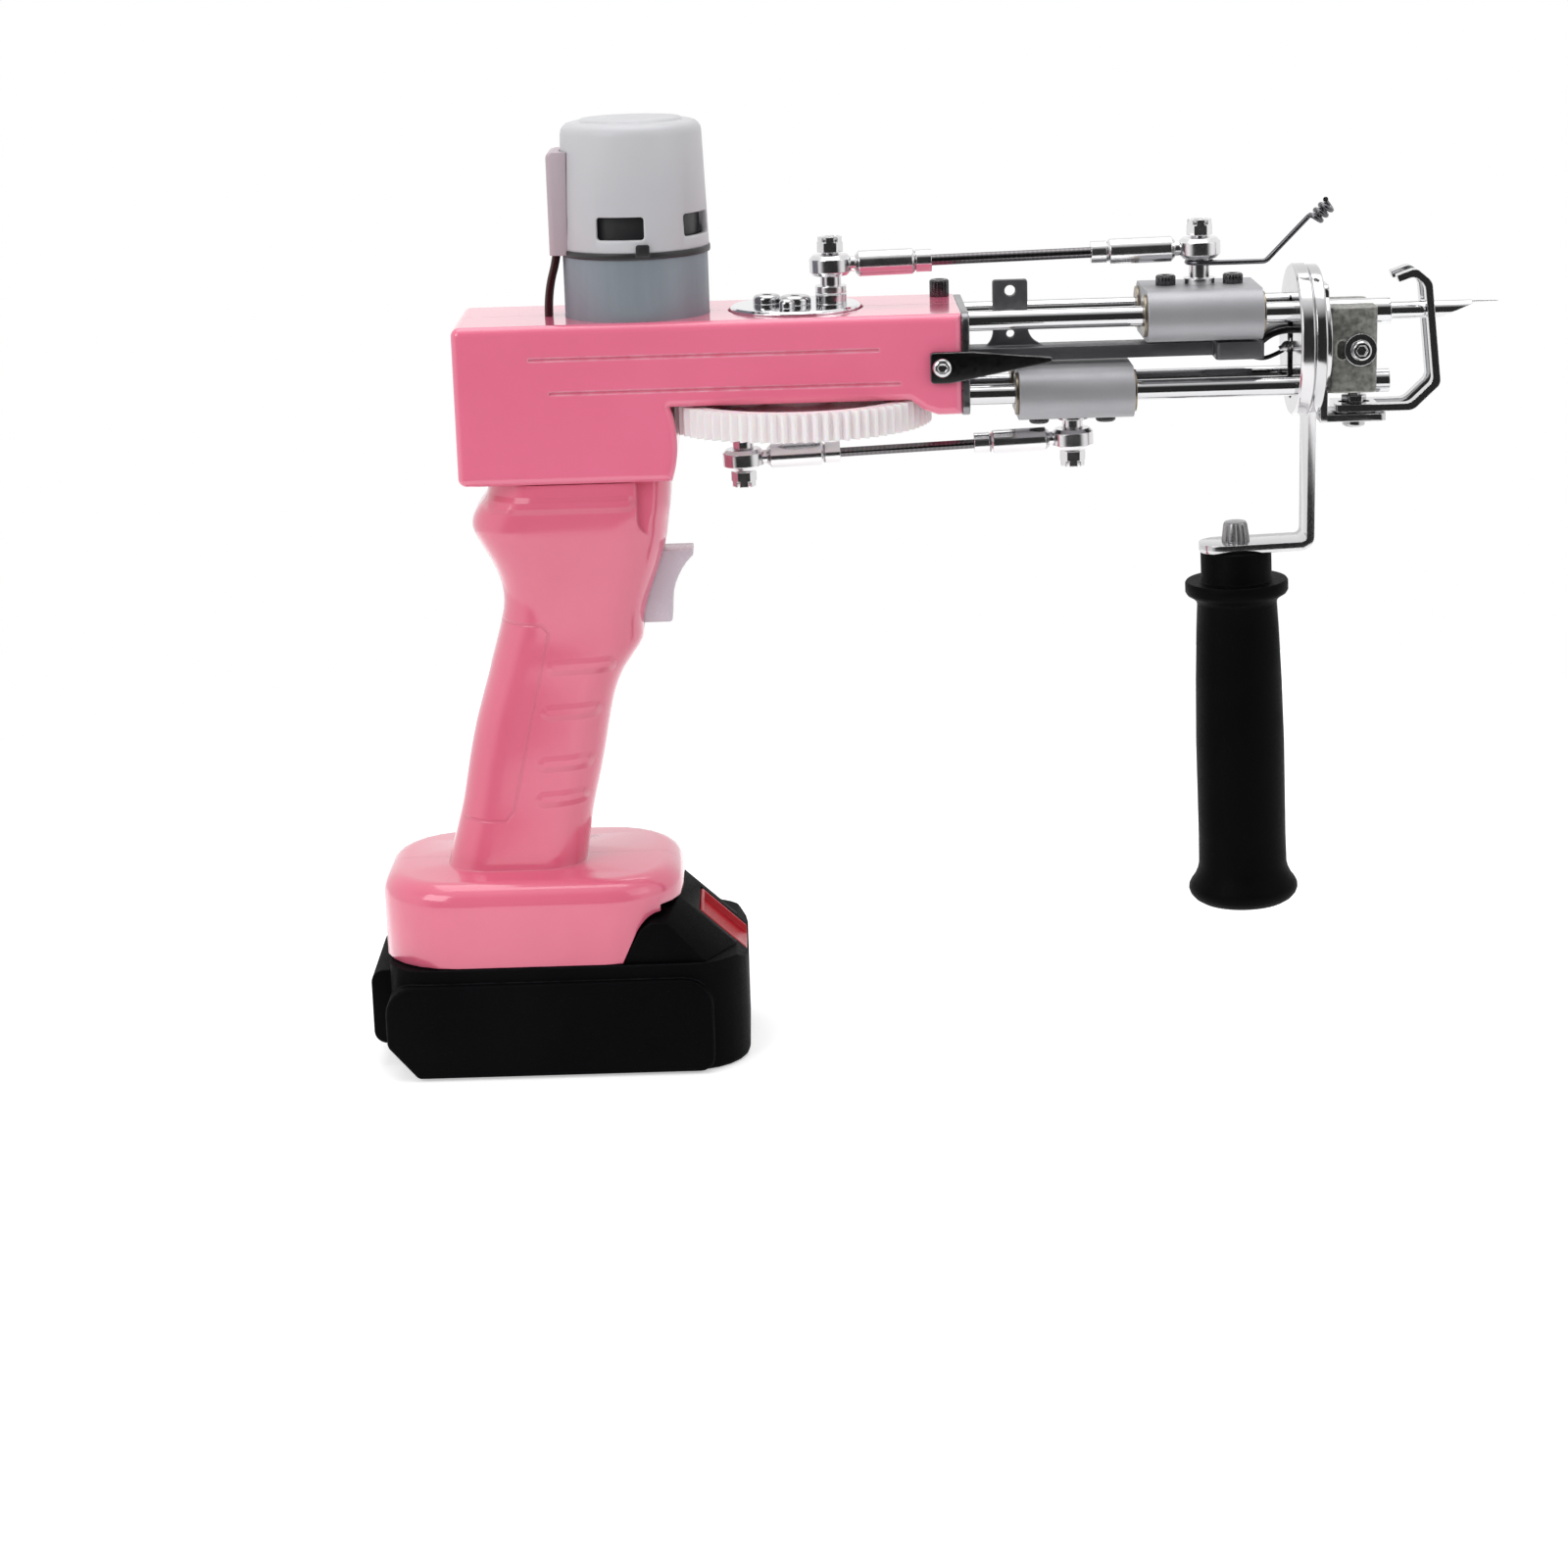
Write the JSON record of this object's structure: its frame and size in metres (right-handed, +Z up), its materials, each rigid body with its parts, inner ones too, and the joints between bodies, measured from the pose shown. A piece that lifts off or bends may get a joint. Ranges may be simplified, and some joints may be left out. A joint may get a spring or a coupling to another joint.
{
  "type": "tufting tool",
  "caption": "Cordless pistol-grip tufting tool: a motor and crank drive a hollow needle and a cutter along guide rods, with a side handle and a slide-on battery.",
  "frame": {"origin": "centre of the battery's flat base", "axes": "+X forward along the needle, +Z up, the near side of the picture faces -Y"},
  "size_m": [0.3474, 0.08, 0.2853],
  "materials": {
    "pink_plastic": "moulded gloss pink",
    "grip_pink": "moulded gloss pink",
    "clear_cap": "translucent white",
    "motor_steel": "plated steel",
    "black_plastic": "fine texture",
    "battery_black": "satin",
    "polished_steel": "polished",
    "dark_steel": "blackened",
    "plate_steel": "ground",
    "slider_grey": "bead blasted",
    "nylon": "white nylon",
    "bronze": "sintered bronze",
    "black_oxide": "black finish",
    "handle_black": "moulded",
    "lilac_plastic": "pale trigger",
    "red_plastic": "red button",
    "lead_red": "insulation",
    "lead_black": "insulation",
    "cell_wrap": "cell wrap",
    "contact_brass": "contact blades",
    "winding": "wound core"
  },
  "bodies": {
    "frame": {"housing_near": "pink_plastic", "housing_far": "pink_plastic", "housing_screws": "dark_steel", "grip_near": "grip_pink", "grip_far": "grip_pink", "front_plate": "plate_steel", "guide_rods": "polished_steel", "ring_rear": "plate_steel", "nose_plate": "plate_steel", "nose_block": "polished_steel", "nose_bushes": "polished_steel", "nose_bolt": "polished_steel", "foot_clamp_screw": "polished_steel", "motor_can": "motor_steel", "motor_end_bell": "black_plastic", "motor_cap": "clear_cap", "wire_cover": "clear_cap", "motor_lead_near": "lead_red", "motor_lead_far": "lead_black", "crank_bearings": "polished_steel", "wedge_plate": "black_oxide", "wedge_screw": "polished_steel", "tab_track": "black_oxide", "speed_switch": "black_plastic", "trigger_spring": "polished_steel", "contact_blades": "contact_brass"},
    "crank": {"drive_gear": "nylon", "crank_shaft": "polished_steel", "crank_disc": "polished_steel", "crank_screws": "polished_steel"},
    "rotor": {"pinion": "polished_steel", "motor_armature": "winding"},
    "needle_carriage": {"needle_slider": "slider_grey", "needle_slider_bushes": "bronze", "needle_slider_screws": "dark_steel", "needle_slider_stud": "polished_steel", "needle": "polished_steel", "yarn_guide": "polished_steel"},
    "cutter_carriage": {"cutter_slider": "slider_grey", "cutter_slider_bushes": "bronze", "cutter_slider_screws": "dark_steel", "cutter_slider_stud": "polished_steel", "cutter_rod": "polished_steel"},
    "upper_link": {"upper_link_ends": "polished_steel", "upper_link_tie_rod": "dark_steel", "upper_link_lock_nuts": "polished_steel", "upper_crank_stud": "polished_steel"},
    "lower_link": {"lower_link_ends": "polished_steel", "lower_link_tie_rod": "dark_steel", "lower_link_lock_nuts": "polished_steel", "lower_crank_stud": "polished_steel"},
    "side_handle": {"handle_bracket": "dark_steel", "handle_grip": "handle_black", "handle_nut": "handle_black"},
    "presser_foot": {"presser_foot": "polished_steel"},
    "trigger": {"trigger": "lilac_plastic"},
    "battery": {"battery_case": "battery_black", "battery_cells": "cell_wrap", "battery_top": "battery_black"},
    "release_button": {"release_button": "red_plastic"}
  },
  "joints": [
    {"name": "crank_spin", "type": "hinge", "parent": "frame", "child": "crank", "pos_m": [0.0795, 0, 0.2], "axis": [0, 0, 1], "continuous": true},
    {"name": "rotor_spin", "type": "hinge", "parent": "frame", "child": "rotor", "pos_m": [0.0325, 0, 0.2], "axis": [0, 0, 1], "continuous": true},
    {"name": "needle_slide", "type": "slide", "parent": "frame", "child": "needle_carriage", "axis": [1, 0, 0], "range_m": [-0.0214, 0]},
    {"name": "cutter_slide", "type": "slide", "parent": "frame", "child": "cutter_carriage", "axis": [1, 0, 0], "range_m": [0, 0.0338]},
    {"name": "upper_link_swing", "type": "hinge", "parent": "needle_carriage", "child": "upper_link", "pos_m": [0.1998, 0, 0.2424], "axis": [0, 0, 1], "range_deg": [-5.6, 5.6]},
    {"name": "lower_link_swing", "type": "hinge", "parent": "cutter_carriage", "child": "lower_link", "pos_m": [0.1618, 0, 0.1866], "axis": [0, 0, 1], "range_deg": [-9.8, 9.8]},
    {"name": "handle_swing", "type": "hinge", "parent": "frame", "child": "side_handle", "pos_m": [0.2333, 0, 0.2142], "axis": [1, 0, 0], "range_deg": [-60, 60]},
    {"name": "foot_adjust", "type": "slide", "parent": "frame", "child": "presser_foot", "axis": [1, 0, 0], "range_m": [-0.0024, 0.0024]},
    {"name": "trigger_pull", "type": "slide", "parent": "frame", "child": "trigger", "axis": [-1, 0, 0], "range_m": [0, 0.0055], "stiffness_N_per_m": 600, "springref_m": -0.002, "deforming": ["trigger_spring"]},
    {"name": "battery_slide", "type": "slide", "parent": "frame", "child": "battery", "axis": [1, 0, 0], "range_m": [0, 0.07]},
    {"name": "release_press", "type": "slide", "parent": "battery", "child": "release_button", "axis": [-0.6294, 0, -0.7771], "range_m": [0, 0.0018], "stiffness_N_per_m": 500, "springref_m": -0.002}
  ],
  "couplings": [
    {"joint": "rotor_spin", "follows": "crank_spin", "ratio": -4.875},
    {"joint": "cutter_slide", "follows": "needle_slide", "ratio": -1.5794}
  ]
}
